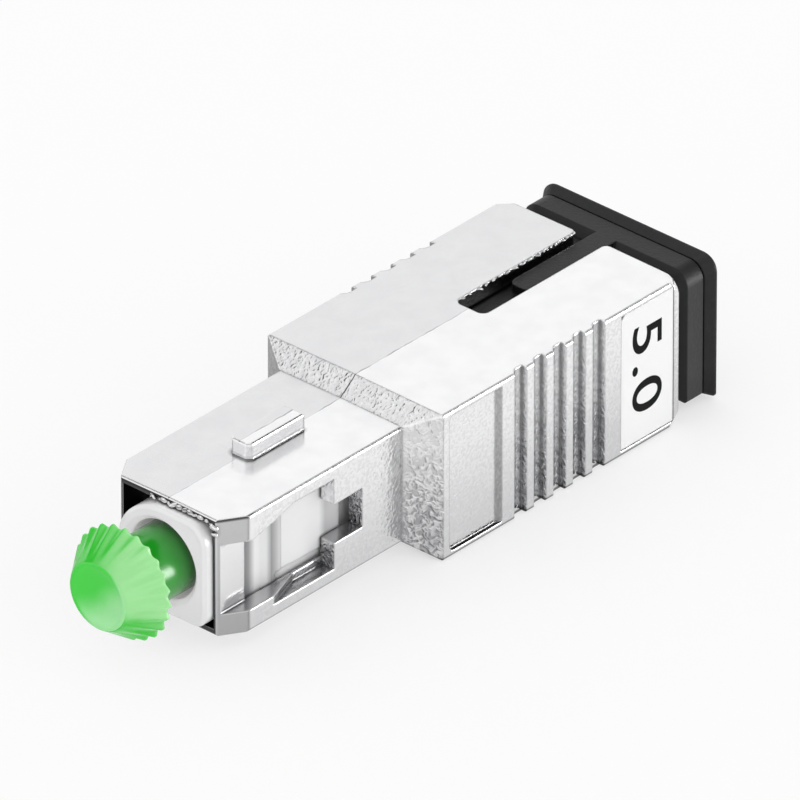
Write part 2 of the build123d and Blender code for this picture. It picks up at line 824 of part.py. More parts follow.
def fluted_section(x, diameter, flute_depth):
    """Disc across the axis at x, whose edge is a row of lands and flutes made of short flats."""
    edge = []
    for flute in range(CAP_FLUTES):
        for share, depth in CAP_FLUTE_PROFILE:
            angle = 2 * math.pi * (flute + share) / CAP_FLUTES
            radius = diameter / 2 - depth * flute_depth
            edge.append((radius * math.cos(angle), radius * math.sin(angle)))
    with BuildSketch(Plane.YZ.offset(x)) as section:
        Polygon(*edge, align=None)
    return section.sketch


with BuildPart() as ferrule_cap:
    # Head that widens towards the nose, with flutes that deepen as it widens
    head_back = fluted_section(cap_shoulder, CAP_RIM_DIAMETER, CAP_FLUTE_DEPTH)
    head_front = fluted_section(cap_face, CAP_FACE_DIAMETER, CAP_FLUTE_FRONT_DEPTH)
    loft([head_front, head_back], ruled=True)
    extrude(head_back, amount=CAP_RIM_LENGTH)
    rod(cap_rim, cap_end, CAP_SHANK_DIAMETER)

    # Dished front face, and the socket
    dish_radius = CAP_FACE_DIAMETER / 2 - CAP_DISH_MARGIN
    with BuildSketch(Plane.XZ):
        with BuildLine():
            TangentArc(
                (cap_face + CAP_DISH, 0), (cap_face, dish_radius), tangent=(0, 1)
            )
            Polyline(
                (cap_face, dish_radius),
                (cap_face - OVERCUT, dish_radius),
                (cap_face - OVERCUT, 0),
                (cap_face + CAP_DISH, 0),
            )
        make_face()
    revolve(axis=Axis.X, mode=Mode.SUBTRACT)
    bore(cap_end - CAP_SOCKET_DEPTH, cap_end, FERRULE_DIAMETER + 2 * CAP_FIT)

ferrule_cap.part.label = "ferrule_cap"
export_step(ferrule_cap.part, "parts/ferrule_cap.step")


# Dust plug of the receptacle: block and flared rim outside, neck, tongue and key rib inside

block_start = body_end + PLUG_STANDOFF
block_end = block_start + BLOCK_LENGTH
rim_end = block_end + RIM_LENGTH
tongue_start = body_end - TONGUE_LENGTH
neck_side = port_side - NECK_GAP
neck_top = port_top - NECK_GAP


def plug_section(x, width, height):
    """Section of the dust plug: large upper corners and small lower ones."""
    with BuildSketch(Plane.YZ.offset(x)) as section:
        Rectangle(width, height)
        fillet(section.vertices().group_by(Axis.Y)[0], radius=BLOCK_FOOT)
        fillet(section.vertices().group_by(Axis.Y)[-1], radius=BLOCK_CORNER)
    return section.sketch


with BuildPart() as port_plug:
    edge_end = block_start + BLOCK_FRONT_EDGE
    seam_start = block_end - SEAM_WIDTH
    face_width = BLOCK_WIDTH - 2 * BLOCK_FRONT_EDGE
    face_height = BLOCK_HEIGHT - 2 * BLOCK_FRONT_EDGE
    block_section = plug_section(edge_end, BLOCK_WIDTH, BLOCK_HEIGHT)
    loft([plug_section(block_start, face_width, face_height), block_section], ruled=True)
    extrude(block_section, amount=seam_start - edge_end)
    rim_section = plug_section(rim_end - RIM_LAND, RIM_WIDTH, RIM_HEIGHT)
    loft([plug_section(block_end, BLOCK_WIDTH, BLOCK_HEIGHT), rim_section], ruled=True)
    extrude(rim_section, amount=RIM_LAND)
    chamfer(port_plug.faces().sort_by(Axis.X)[-1].edges(), length=BLOCK_EDGE)
    extrude(
        plug_section(seam_start, BLOCK_WIDTH - 2 * SEAM_DEPTH, BLOCK_HEIGHT - 2 * SEAM_DEPTH),
        amount=SEAM_WIDTH,
    )
    box_between(hook_tip + NECK_START, block_start, neck_side, neck_top)
    box_between(tongue_start, hook_tip + NECK_START, TONGUE_WIDTH / 2, neck_top)
    # Key rib, as high as the block and rounded at its front end
    rib_half = keyway_half - RIB_GAP
    with BuildSketch(Plane.XY) as rib_outline:
        with Locations((body_end - RIB_REACH, 0)):
            Rectangle(
                RIB_REACH + PLUG_STANDOFF + BLOCK_LENGTH / 2,
                2 * rib_half,
                align=(Align.MIN, Align.CENTER),
            )
        fillet(rib_outline.vertices().group_by(Axis.X)[0], radius=RIB_CORNER)
    extrude(amount=BLOCK_HEIGHT / 2)
    bore(tongue_start, rear_tube_end + TONGUE_BORE_END, TONGUE_BORE)

port_plug.part.label = "port_plug"
export_step(port_plug.part, "parts/port_plug.step")
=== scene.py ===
import math
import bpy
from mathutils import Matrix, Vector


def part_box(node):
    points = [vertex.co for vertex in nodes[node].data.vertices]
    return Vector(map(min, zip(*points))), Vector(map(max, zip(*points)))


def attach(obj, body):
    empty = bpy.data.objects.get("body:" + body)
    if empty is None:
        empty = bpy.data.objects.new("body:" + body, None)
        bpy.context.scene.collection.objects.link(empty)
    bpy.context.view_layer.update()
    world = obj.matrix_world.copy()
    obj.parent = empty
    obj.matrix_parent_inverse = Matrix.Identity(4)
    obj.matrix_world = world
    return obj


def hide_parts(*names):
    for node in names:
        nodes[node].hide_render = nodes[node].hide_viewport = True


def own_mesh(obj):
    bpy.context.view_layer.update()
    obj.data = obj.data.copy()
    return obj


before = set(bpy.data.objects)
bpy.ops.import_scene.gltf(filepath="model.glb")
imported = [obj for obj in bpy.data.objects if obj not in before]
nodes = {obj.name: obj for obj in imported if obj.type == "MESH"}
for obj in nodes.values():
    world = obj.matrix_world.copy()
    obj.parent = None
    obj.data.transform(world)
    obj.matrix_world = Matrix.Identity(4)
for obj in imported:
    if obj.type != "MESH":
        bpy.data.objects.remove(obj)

from types import SimpleNamespace

import bmesh
import bpy
from mathutils import Matrix, Vector

# Looks of a fibre attenuator: a nickel-plated die-cast shell with a white moulded frame,
# a green ferrule cap, a black dust plug and a value label.
# Everything is in metres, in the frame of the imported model.

MM = 0.001
scene = bpy.context.scene
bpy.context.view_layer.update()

# Kinds of node that most finishes use
MATH = "ShaderNodeMath"
VECTOR_MATH = "ShaderNodeVectorMath"
SPLIT = "ShaderNodeSeparateXYZ"
NOISE = "ShaderNodeTexNoise"
BUMP = "ShaderNodeBump"
MIX = "ShaderNodeMix"
# Takes a value, where a fade starts and ends in it, and what the two ends give
FADE = "ShaderNodeMapRange"
SMOOTH = {"interpolation_type": "SMOOTHSTEP"}


# Helpers

def colour(hex_code):
    """Linear colour of an sRGB hex code."""
    channels = [int(hex_code[i:i + 2], 16) / 255 for i in (1, 3, 5)]
    linear = [c / 12.92 if c <= 0.04045 else ((c + 0.055) / 1.055) ** 2.4 for c in channels]
    return (*linear, 1.0)


def join(tree, source, socket):
    """Links an output, or a node's first output in use, to an input."""
    if isinstance(source, bpy.types.Node):
        source = next(output for output in source.outputs if output.enabled)
    tree.links.new(source, socket)


def add(tree, kind, inputs=(), **settings):
    """Adds one node. Its inputs go by name, or by place among those in use, and each is a
    value, an output or a node that it is linked from."""
    made = tree.nodes.new(kind)
    for setting, value in settings.items():
        setattr(made, setting, value)
    sockets = [socket for socket in made.inputs if socket.enabled]
    if isinstance(inputs, dict):
        sockets = [next(socket for socket in sockets if socket.name == name) for name in inputs]
        inputs = inputs.values()
    for socket, value in zip(sockets, inputs):
        if isinstance(value, (bpy.types.Node, bpy.types.NodeSocket)):
            join(tree, value, socket)
        else:
            socket.default_value = value
    return made


def new_material(name, **sockets):
    """Material with one Principled shader, whose plain sockets are set here."""
    material = bpy.data.materials.new(name)
    material.use_nodes = True
    tree = material.node_tree
    shader = tree.nodes["Principled BSDF"]
    for socket, value in sockets.items():
        shader.inputs[socket.replace("_", " ")].default_value = value
    return material, tree, shader


def layered(tree, tone, layers):
    """Lays other shades over a tone, each where its share says."""
    for share, shade in layers:
        tone = add(tree, MIX, [share, tone, colour(shade)], data_type="RGBA")
    return tone


def set_stops(band, stops, start, end):
    """Sets a colour band's stops from (place, grey level), with places from start to end."""
    while len(band.elements) < len(stops):
        band.elements.new(1.0)
    for element, (place, level) in zip(band.elements, stops):
        element.position = (place - start) / (end - start)
        element.color = (level, level, level, 1.0)


# Shell: nickel-plated zinc casting

# Where the side bends into the step
STEP_BEND_X = 12.9 * MM
# Upright part of the direction that the step's slope faces
STEP_SLOPE = 0.77
# Long corners with a painted dark line of shade: height, start and end along X in mm, and how dark
SHADED_CORNERS = (
    (3.64, -1.0, 14.1, 0.9),
    (-3.64, 1.5, 14.1, 0.5),
    (-4.6, 14.8, 35.0, 0.6),
)


def shell_places(tree):
    """Where a point of the shell is and which way it faces, for every part of its finish."""
    place = add(tree, "ShaderNodeTexCoord")
    facing = add(tree, SPLIT, [place.outputs["Normal"]]).outputs
    spot = add(tree, SPLIT, [place.outputs["Object"]]).outputs
    upright = add(tree, MATH, [facing["Z"]], operation="ABSOLUTE")
    return SimpleNamespace(
        position=place.outputs["Object"], x=spot["X"], y=spot["Y"], z=spot["Z"],
        skyward=facing["Z"], upright=upright,
        forward=add(tree, MATH, [facing["X"], -1.0], operation="MULTIPLY"),
        on_top=add(tree, FADE, [upright, 0.85, 0.97, 0.0, 1.0], **SMOOTH),
        far_half=add(tree, FADE, [spot["Y"], -0.1 * MM, 0.1 * MM, 0.0, 1.0], **SMOOTH),
    )


def cast_grain(tree, at):
    """Height of the cast grain, and share of its grey flecks. Worm-like grain is strongest
    low down and on faces that look forward, and nearly gone on the flat tops, on the smooth
    front end and on the key. A finer peel covers the rest."""
    low_down = add(tree, FADE, [at.z, 3.2 * MM, -3.2 * MM, 0.45, 1.6], **SMOOTH)
    on_slope = add(tree, FADE, [at.upright, 0.6, 0.75, 0.0, 0.62], **SMOOTH)
    strongest = add(tree, MATH, [low_down, on_slope], operation="MAXIMUM")
    ahead = add(tree, FADE, [at.forward, 0.45, 0.85, 0.1, 1.0], **SMOOTH)
    worms = add(tree, MATH, [ahead, strongest], operation="MULTIPLY")
    far_peel = add(tree, MATH, [at.far_half, 0.08], operation="MULTIPLY")
    peel = add(tree, MIX, [at.on_top, 0.42, far_peel], data_type="FLOAT")
    # The side runs smoothly into the step
    past_bend = add(tree, MATH, [at.x, STEP_BEND_X], operation="SUBTRACT")
    from_bend = add(tree, MATH, [past_bend], operation="ABSOLUTE")
    off_bend = add(tree, FADE, [from_bend, 0.9 * MM, 1.4 * MM, 0.15, 1.0], **SMOOTH)
    off_top = add(tree, MATH, [at.on_top, -0.98, 1.0], operation="MULTIPLY_ADD")
    off_front = add(tree, FADE, [at.x, 1.7 * MM, 2.4 * MM, 0.12, 1.0], **SMOOTH)
    above_front = add(tree, FADE, [at.z, 3.75 * MM, 3.85 * MM, 0.0, 0.85], **SMOOTH)
    before_step = add(tree, FADE, [at.x, 11.5 * MM, 11 * MM, 0.0, 1.0], **SMOOTH)
    on_key = add(tree, MATH, [above_front, before_step], operation="MULTIPLY")
    off_key = add(tree, MATH, [1.0, on_key], operation="SUBTRACT")
    for share in (off_bend, off_top, off_front, off_key):
        worms = add(tree, MATH, [worms, share], operation="MULTIPLY")
    for share in (off_front, off_key):
        peel = add(tree, MATH, [peel, share], operation="MULTIPLY")
    # Cast grain about 0.1 mm across, drawn two to five times as coarse so that it shows
    coarse = add(tree, NOISE, {
        "Vector": at.position, "Scale": 1 / (0.5 * MM), "Detail": 1.0, "Distortion": 1.5,
    })
    fine = add(tree, NOISE, {"Vector": at.position, "Scale": 1 / (0.2 * MM), "Detail": 1.0})
    half_peel = add(tree, MATH, [peel, 0.5], operation="MULTIPLY")
    worm_height = add(tree, MATH, [coarse, worms], operation="MULTIPLY")
    height = add(tree, MATH, [fine, half_peel, worm_height], operation="MULTIPLY_ADD")
    # Pits of the grain hold less plating and read as grey flecks
    deep = add(tree, FADE, [coarse, 0.6, 0.4, 0.0, 0.5], **SMOOTH)
    shallow = add(tree, FADE, [fine, 0.6, 0.36, 0.0, 0.3], **SMOOTH)
    pits = add(tree, MATH, [deep, worms], operation="MULTIPLY")
    specks = add(tree, MATH, [shallow, peel], operation="MULTIPLY")
    return height, add(tree, MATH, [pits, specks], operation="MAXIMUM")


def painted_shade_areas(tree, at):
    """Larger areas darkened by painted shade, with their greys: the far half of the top, the
    sides towards the base and the slopes of the step."""
    far_top = add(tree, MATH, [at.far_half, at.on_top], operation="MULTIPLY")
    far_top = add(tree, MATH, [far_top, 0.42], operation="MULTIPLY")
    low_down = add(tree, FADE, [at.z, 3.5 * MM, -4.5 * MM, 0.0, 0.55], **SMOOTH)
    off_top = add(tree, MATH, [1.0, at.on_top], operation="SUBTRACT")
    low_sides = add(tree, MATH, [low_down, off_top], operation="MULTIPLY")
    steeper = add(tree, MATH, [at.upright, STEP_SLOPE], operation="SUBTRACT")
    from_slope = add(tree, MATH, [steeper], operation="ABSOLUTE")
    sloping = add(tree, FADE, [from_slope, 0.1, 0.04, 0.0, 0.18], **SMOOTH)
    ahead = add(tree, FADE, [at.forward, 0.4, 0.6, 0.0, 1.0], **SMOOTH)
    slopes = add(tree, MATH, [sloping, ahead], operation="MULTIPLY")
    return (far_top, "#C9C9CB"), (low_sides, "#B4B4B6"), (slopes, "#A6A6A9")


def painted_dark_lines(tree, at):
    """Share of the painted shade: dark lines on the nose and along the long corners, and dark ledges."""
    # Painted dark line under the top edge of the nose
    high_up = add(tree, FADE, [at.z, 3.42 * MM, 3.58 * MM, 0.0, 0.9], **SMOOTH)
    in_front = add(tree, FADE, [at.x, 1.75 * MM, 1.5 * MM, 0.0, 1.0], **SMOOTH)
    painted_dark = add(tree, MATH, [high_up, in_front], operation="MULTIPLY")
    for corner_z, start_x, end_x, strength in SHADED_CORNERS:
        above = add(tree, MATH, [at.z, corner_z * MM], operation="SUBTRACT")
        from_corner = add(tree, MATH, [above], operation="ABSOLUTE")
        beside = add(tree, FADE, [from_corner, 0.13 * MM, 0.06 * MM, 0.0, strength], **SMOOTH)
        past_middle = add(tree, MATH, [at.x, (start_x + end_x) / 2 * MM], operation="SUBTRACT")
        from_middle = add(tree, MATH, [past_middle], operation="ABSOLUTE")
        half = (end_x - start_x) / 2 * MM
        within = add(tree, FADE, [from_middle, half, half - 0.2 * MM, 0.0, 1.0], **SMOOTH)
        on_corner = add(tree, MATH, [beside, within], operation="MULTIPLY")
        painted_dark = add(tree, MATH, [painted_dark, on_corner], operation="MAXIMUM")
    off_top = add(tree, FADE, [at.upright, 0.6, 0.4, 0.0, 1.0], **SMOOTH)
    painted_dark = add(tree, MATH, [painted_dark, off_top], operation="MULTIPLY")
    # Painted shade: ledges low on the sides are darker, those of the grip panels nearly black
    looks_up = add(tree, FADE, [at.skyward, 0.7, 0.9, 0.0, 1.0], **SMOOTH)
    low_down = add(tree, FADE, [at.z, 0.0, -1 * MM, 0.0, 1.0], **SMOOTH)
    ledge = add(tree, MATH, [looks_up, low_down], operation="MULTIPLY")
    outward = add(tree, MATH, [at.y], operation="ABSOLUTE")
    in_panel = add(tree, FADE, [outward, 5.6 * MM, 5.9 * MM, 0.4, 0.95], **SMOOTH)
    ledge = add(tree, MATH, [ledge, in_panel], operation="MULTIPLY")
    return add(tree, MATH, [painted_dark, ledge], operation="MAXIMUM")


def parting_line(tree, at):
    """Share of the line where the die's halves met: about 0.06 mm wide, wandering a little,
    and strongest on the slope."""
    wander = add(tree, NOISE, {"Vector": at.position, "Scale": 1 / (0.7 * MM), "Detail": 2.0})
    beside = add(tree, MATH, [at.y, -0.1 * MM], operation="ADD")
    shifted = add(tree, MATH, [wander, 0.2 * MM, beside], operation="MULTIPLY_ADD")
    from_line = add(tree, MATH, [shifted], operation="ABSOLUTE")
    line = add(tree, FADE, [from_line, 0.01 * MM, 0.06 * MM, 1.0, 0.0], **SMOOTH)
    patches = add(tree, NOISE, {"Vector": at.position, "Scale": 1 / (2.2 * MM), "Detail": 1.0})
    faded = add(tree, FADE, [patches, 0.4, 0.6, 0.15, 0.6], **SMOOTH)
    sloping = add(tree, FADE, [at.forward, 0.3, 0.5, 0.0, 1.0], **SMOOTH)
    strength = add(tree, MATH, [faded, sloping], operation="MAXIMUM")
    looks_up = add(tree, FADE, [at.upright, 0.6, 0.75, 0.0, 1.0], **SMOOTH)
    for share in (strength, looks_up):
        line = add(tree, MATH, [line, share], operation="MULTIPLY")
    return line


def unshaded_places(tree, at):
    """Share of the full tone that is left where painted shade darkens the corners. The
    beads in front of the lip stay bright."""
    corners = add(tree, "ShaderNodeAmbientOcclusion", {"Distance": 0.3 * MM}, samples=6)
    unshaded_share = add(tree, MATH, [corners.outputs["AO"], 1.4], operation="POWER")
    on_beads = add(tree, FADE, [at.x, -0.01 * MM, -0.05 * MM, 0.0, 0.9], **SMOOTH)
    return add(tree, MATH, [unshaded_share, on_beads], operation="MAXIMUM")


def painted_mouth_shade(tree, at):
    """Share of the mouth's inside, which painted shade makes dark."""
    before_frame = add(tree, FADE, [at.x, 2.4 * MM, 2.2 * MM, 0.0, 1.0], **SMOOTH)
    behind_lip = add(tree, FADE, [at.x, 0.0, 0.04 * MM, 0.0, 1.0], **SMOOTH)
    inside = add(tree, MATH, [before_frame, behind_lip], operation="MULTIPLY")
    for across in (at.y, at.z):
        outward = add(tree, MATH, [across], operation="ABSOLUTE")
        within = add(tree, FADE, [outward, 3.42 * MM, 3.36 * MM, 0.0, 1.0], **SMOOTH)
        inside = add(tree, MATH, [inside, within], operation="MULTIPLY")
    return inside


def painted_lip_end_shade(tree, at):
    """Share of the front lip's end face, which a painted dark reflection makes dark."""
    looks_ahead = add(tree, FADE, [at.forward, 0.88, 0.97, 0.0, 0.8], **SMOOTH)
    in_front = add(tree, FADE, [at.x, 0.5 * MM, 0.3 * MM, 0.0, 1.0], **SMOOTH)
    behind_beads = add(tree, FADE, [at.x, -0.04 * MM, -0.01 * MM, 0.0, 1.0], **SMOOTH)
    lip = add(tree, MATH, [looks_ahead, in_front], operation="MULTIPLY")
    return add(tree, MATH, [lip, behind_beads], operation="MULTIPLY")


def nickel_plated_zinc_casting():
    """Nickel-plated zinc, die-cast: bright metal with soft waves on the tops, a worm-like cast
    grain that sparkles on the slopes and grooves, a fine parting line along the middle, and
    rounded edges that catch light. Painted shade darkens its corners, long edges, ledges,
    mouth, lip end, the far half of the top, the lower sides and the step's slopes."""
    material, tree, shader = new_material("nickel_plated_zinc_die_cast", Metallic=1.0)
    at = shell_places(tree)
    height, flecks = cast_grain(tree, at)
    rounded = add(tree, "ShaderNodeBevel", {"Radius": 0.15 * MM}, samples=6)
    waves = add(tree, NOISE, {"Vector": at.position, "Scale": 1 / (3.5 * MM), "Detail": 1.0})
    wavy = add(tree, BUMP, {
        "Strength": 0.5, "Distance": 0.014 * MM, "Height": waves, "Normal": rounded,
    })
    cast = add(tree, BUMP, {
        "Strength": 1.0, "Distance": 0.1 * MM, "Height": height, "Normal": wavy,
    })
    join(tree, cast, shader.inputs["Normal"])
    clouds = add(tree, NOISE, {"Vector": at.position, "Scale": 1 / (1.4 * MM), "Detail": 3.0})
    tone = add(tree, MIX, [clouds, colour("#FCFCFC"), colour("#F3F3F5")], data_type="RGBA")
    # Grey flecks and the parting line are the casting's own; the other layers are painted shade
    tone = layered(tree, tone, (
        (flecks, "#77777A"), *painted_shade_areas(tree, at),
        (painted_dark_lines(tree, at), "#2A2A2C"), (parting_line(tree, at), "#4A4A4C"),
    ))
    # Painted shade in the corners
    tone = add(tree, MIX, [unshaded_places(tree, at), colour("#1A1A1C"), tone], data_type="RGBA")
    # Painted shade inside the mouth, and a painted dark reflection on the lip's end face
    tone = layered(tree, tone, ((painted_mouth_shade(tree, at), "#1C1C1E"), (painted_lip_end_shade(tree, at), "#2C2C2E")))
    join(tree, tone, shader.inputs["Base Color"])
    mottle = add(tree, FADE, [clouds, 0.3, 0.7, 0.13, 0.18], **SMOOTH)
    duller_top = add(tree, MATH, [at.on_top, 0.06], operation="MULTIPLY")
    join(tree, add(tree, MATH, [mottle, duller_top], operation="ADD"), shader.inputs["Roughness"])
    return material


# Finishes of the other pieces

def even_surface(
    name, light, dark, mottle_mm, grain_mm, relief_mm, edge_mm=0.08, corner_shade_mm=0.0,
    corner_shade_power=1.0, **sockets,
):
    """Even surface of a moulded, turned or ground piece: a faint mottle between two tones,
    a fine grain, soft edges and, where asked for, painted shade that darkens its corners. The
    real grain is under 0.05 mm, and is drawn coarser so that it shows."""
    material, tree, shader = new_material(name, **sockets)
    position = add(tree, "ShaderNodeTexCoord").outputs["Object"]
    mottle = add(tree, NOISE, {"Vector": position, "Scale": 1 / (mottle_mm * MM), "Detail": 3.0})
    tone = add(tree, MIX, [mottle, colour(light), colour(dark)], data_type="RGBA")
    # Painted shade in corners, where asked for
    if corner_shade_mm:
        corners = add(tree, "ShaderNodeAmbientOcclusion", {"Distance": corner_shade_mm * MM}, samples=6)
        unshaded_share = add(tree, MATH, [corners.outputs["AO"], corner_shade_power], operation="POWER")
        tone = add(tree, MIX, [unshaded_share, colour("#050505"), tone], data_type="RGBA")
    join(tree, tone, shader.inputs["Base Color"])
    grain = add(tree, NOISE, {"Vector": position, "Scale": 1 / (grain_mm * MM), "Detail": 2.0})
    rounded = add(tree, "ShaderNodeBevel", {"Radius": edge_mm * MM}, samples=4)
    bump = add(tree, BUMP, {
        "Strength": 1.0, "Distance": relief_mm * MM, "Height": grain, "Normal": rounded,
    })
    join(tree, bump, shader.inputs["Normal"])
    return material


# Painted shade on the frame's side bosses, where they swell and dip: place along X in mm, and how white
BANDS_LENGTH_MM = 12.0
BOSS_PAINTED_SHADE = (
    (0.0, 1.0), (1.6, 1.0), (2.3, 0.1), (2.9, 0.3), (3.4, 1.0), (4.2, 0.95), (4.55, 0.3),
    (4.95, 0.55), (5.5, 1.0), (6.5, 1.0), (8.4, 1.0), (8.9, 0.6), (10.0, 0.75),
)


def white_pbt_frame():
    """White PBT, moulded and glossy: smooth rounded edges, painted shade in its corners, and
    upright bands of painted shade on its side bosses, where they swell and dip."""
    material = even_surface(
        "white_pbt_moulded", "#FFFFFF", "#F6F6F8", mottle_mm=2.0, grain_mm=0.5, relief_mm=0.002,
        edge_mm=0.2, corner_shade_mm=0.2, Roughness=0.2,
    )
    tree = material.node_tree
    base = tree.nodes["Principled BSDF"].inputs["Base Color"]
    plain = base.links[0].from_socket
    place = add(tree, "ShaderNodeTexCoord").outputs
    sideways = add(tree, SPLIT, [place["Normal"]]).outputs["Y"]
    across = add(tree, MATH, [sideways], operation="ABSOLUTE")
    on_side = add(tree, FADE, [across, 0.7, 0.9, 0.0, 1.0], **SMOOTH)
    along = add(tree, SPLIT, [place["Object"]]).outputs["X"]
    share = add(tree, MATH, [along, BANDS_LENGTH_MM * MM], operation="DIVIDE")
    bands = add(tree, "ShaderNodeValToRGB", [share])
    set_stops(bands.color_ramp, BOSS_PAINTED_SHADE, 0.0, BANDS_LENGTH_MM)
    # Painted shade: grey where the side bosses dip
    dipped = add(tree, MATH, [1.0, bands], operation="SUBTRACT")
    shaded = add(tree, MATH, [on_side, dipped], operation="MULTIPLY")
    tone = add(tree, MIX, [shaded, plain, colour("#4E4E52")], data_type="RGBA")
    join(tree, tone, base)
    return material


# Painted light: the cap is drawn paler on one side, as if light came through it. These
# directions grow towards the paler side, by how a face is turned, by place, and by place in the dish
PAINTED_LIGHT_FACING = (0.0, -0.9, 0.5)
PAINTED_LIGHT_PLACE = (0.0, -0.3 / MM, -0.03 / MM)
PAINTED_LIGHT_IN_DISH = (0.0, -0.34 / MM, -0.46 / MM)


def green_polyethylene():
    """Soft green polyethylene, moulded: glossy and a little translucent, with painted light that
    makes it paler on one side and in part of the dish, and painted shade low down and on the shank."""
    material, tree, shader = new_material(
        "green_polyethylene_moulded", Roughness=0.2, Specular_IOR_Level=0.7,
        Subsurface_Weight=0.2, Subsurface_Radius=(0.4, 1.0, 0.4), Subsurface_Scale=0.4 * MM,
    )
    place = add(tree, "ShaderNodeTexCoord").outputs
    position = place["Object"]
    spot = add(tree, SPLIT, [position]).outputs
    facing_x = add(tree, SPLIT, [place["Normal"]]).outputs["X"]
    forward = add(tree, MATH, [facing_x, -1.0], operation="MULTIPLY")
    # Painted light: this share grows towards the paler side
    across = add(tree, VECTOR_MATH, [place["Normal"], PAINTED_LIGHT_FACING], operation="DOT_PRODUCT")
    depth = add(tree, VECTOR_MATH, [position, PAINTED_LIGHT_PLACE], operation="DOT_PRODUCT")
    lit = add(tree, MATH, [across, depth], operation="ADD")
    # In the dish the painted light is on the opposite side
    painted_dish_light = add(tree, VECTOR_MATH, [position, PAINTED_LIGHT_IN_DISH], operation="DOT_PRODUCT")
    painted_dish_light = add(tree, MATH, [painted_dish_light, 0.3], operation="ADD")
    dish = add(tree, FADE, [forward, 0.8, 0.9, 0.0, 1.0], **SMOOTH)
    lit = add(tree, MATH, [dish, painted_dish_light, lit], operation="MULTIPLY_ADD")
    # Painted shade low down, away from the dish
    low_down = add(tree, FADE, [spot["Z"], 0.5 * MM, -1.7 * MM, 0.0, 1.3], **SMOOTH)
    off_dish = add(tree, FADE, [forward, 0.9, 0.8, 0.0, 1.0], **SMOOTH)
    painted_shade_below = add(tree, MATH, [low_down, off_dish], operation="MULTIPLY")
    lit = add(tree, MATH, [lit, painted_shade_below], operation="SUBTRACT")
    lit = add(tree, MATH, [lit, 0.25], operation="SUBTRACT")
    streaks = add(tree, NOISE, {"Vector": position, "Scale": 1 / (1.6 * MM), "Detail": 3.0})
    lit = add(tree, MATH, [streaks, 0.5, lit], operation="MULTIPLY_ADD")
    # Paler tones are painted light
    painted_paleness = add(tree, FADE, [lit, -0.15, 1.25, 0.0, 1.0], **SMOOTH)
    on_head = add(tree, FADE, [spot["X"], -3.5 * MM, -3.1 * MM, 1.0, 0.0], **SMOOTH)
    painted_pale_head = add(tree, MATH, [painted_paleness, on_head], operation="MULTIPLY")
    tone = add(tree, MIX, [painted_pale_head, colour("#34D431"), colour("#A9F4A3")], data_type="RGBA")
    in_dish = add(tree, MATH, [dish, on_head], operation="MULTIPLY")
    dish_tone = add(tree, MIX, [painted_paleness, colour("#4CEA4D"), colour("#ADFFAE")], data_type="RGBA")
    tone = add(tree, MIX, [in_dish, tone, dish_tone], data_type="RGBA")
    # The shank's darker green is painted shade behind the head
    tone = add(tree, MIX, [on_head, colour("#0A9C12"), tone], data_type="RGBA")
    # Painted shade darkens the shank where it goes into the frame, and not the head
    corners = add(tree, "ShaderNodeAmbientOcclusion", {"Distance": 1.6 * MM}, samples=6)
    unshaded_share = add(
        tree, MATH, [on_head, 1.0, corners.outputs["AO"]], operation="MULTIPLY_ADD", use_clamp=True,
    )
    tone = add(tree, MIX, [unshaded_share, colour("#0C4A0C"), tone], data_type="RGBA")
    join(tree, tone, shader.inputs["Base Color"])
    # Soft waves of the moulded skin
    waves = add(tree, NOISE, {"Vector": position, "Scale": 1 / (0.6 * MM), "Detail": 2.0})
    rounded = add(tree, "ShaderNodeBevel", {"Radius": 0.12 * MM}, samples=4)
    bump = add(tree, BUMP, {
        "Strength": 1.0, "Distance": 0.004 * MM, "Height": waves, "Normal": rounded,
    })
    join(tree, bump, shader.inputs["Normal"])
    return material


casting = nickel_plated_zinc_casting()
white_pbt = white_pbt_frame()
green_pe = green_polyethylene()
# PEI without glass, moulded: pale amber-grey and satin, from a textured tool
holder_pei = even_surface(
    "pale_pei_moulded", "#DEDDD6", "#D0CFC8", mottle_mm=2.0, grain_mm=0.4, relief_mm=0.003,
    Roughness=0.45,
)
# Polyester film, printed: even and bright white, matt, with painted shade as a thin dark line at its edge
film = even_surface(
    "white_film_printed", "#FFFFFF", "#FCFCFC", mottle_mm=1.5, grain_mm=0.4, relief_mm=0.001,
    corner_shade_mm=0.06, Roughness=0.4,
)
# Rubber, moulded: its fine grain scatters light, so its gloss is weak, and painted shade turns its seams and
# recesses black
black_rubber = even_surface(
    "black_thermoplastic_rubber_moulded", "#2C2C2E", "#1B1B1D", mottle_mm=0.35, grain_mm=0.17,
    relief_mm=0.014, edge_mm=0.12, corner_shade_mm=2.5, corner_shade_power=3.5, Roughness=0.45,
    Specular_IOR_Level=0.35,
)
# Zirconia, ground and polished: a warm white that shines like glazed china
zirconia = even_surface(
    "zirconia_ground_and_polished", "#F3F2EC", "#ECEAE2", mottle_mm=1.0, grain_mm=0.2,
    relief_mm=0.0005, Roughness=0.12,
)
# Stainless steel, turned: grey metal with a soft shine and the faintest tool marks
steel = even_surface(
    "stainless_steel_turned", "#B8B8BA", "#A9A9AC", mottle_mm=0.5, grain_mm=0.1, relief_mm=0.002,
    Metallic=1.0, Roughness=0.3,
)
# Spring steel, drawn to wire: a darker, duller grey than the turned steel
spring_steel = even_surface(
    "spring_steel_drawn", "#A0A1A5", "#8F9094", mottle_mm=0.5, grain_mm=0.1, relief_mm=0.002,
    Metallic=1.0, Roughness=0.35,
)
# Silica fibre, drawn and polished: a pale bluish dot in the middle of the ferrule's end
silica = even_surface(
    "silica_fibre_doped", "#DCE8F2", "#D2E0EC", mottle_mm=0.1, grain_mm=0.05, relief_mm=0.0002,
    Roughness=0.1,
)
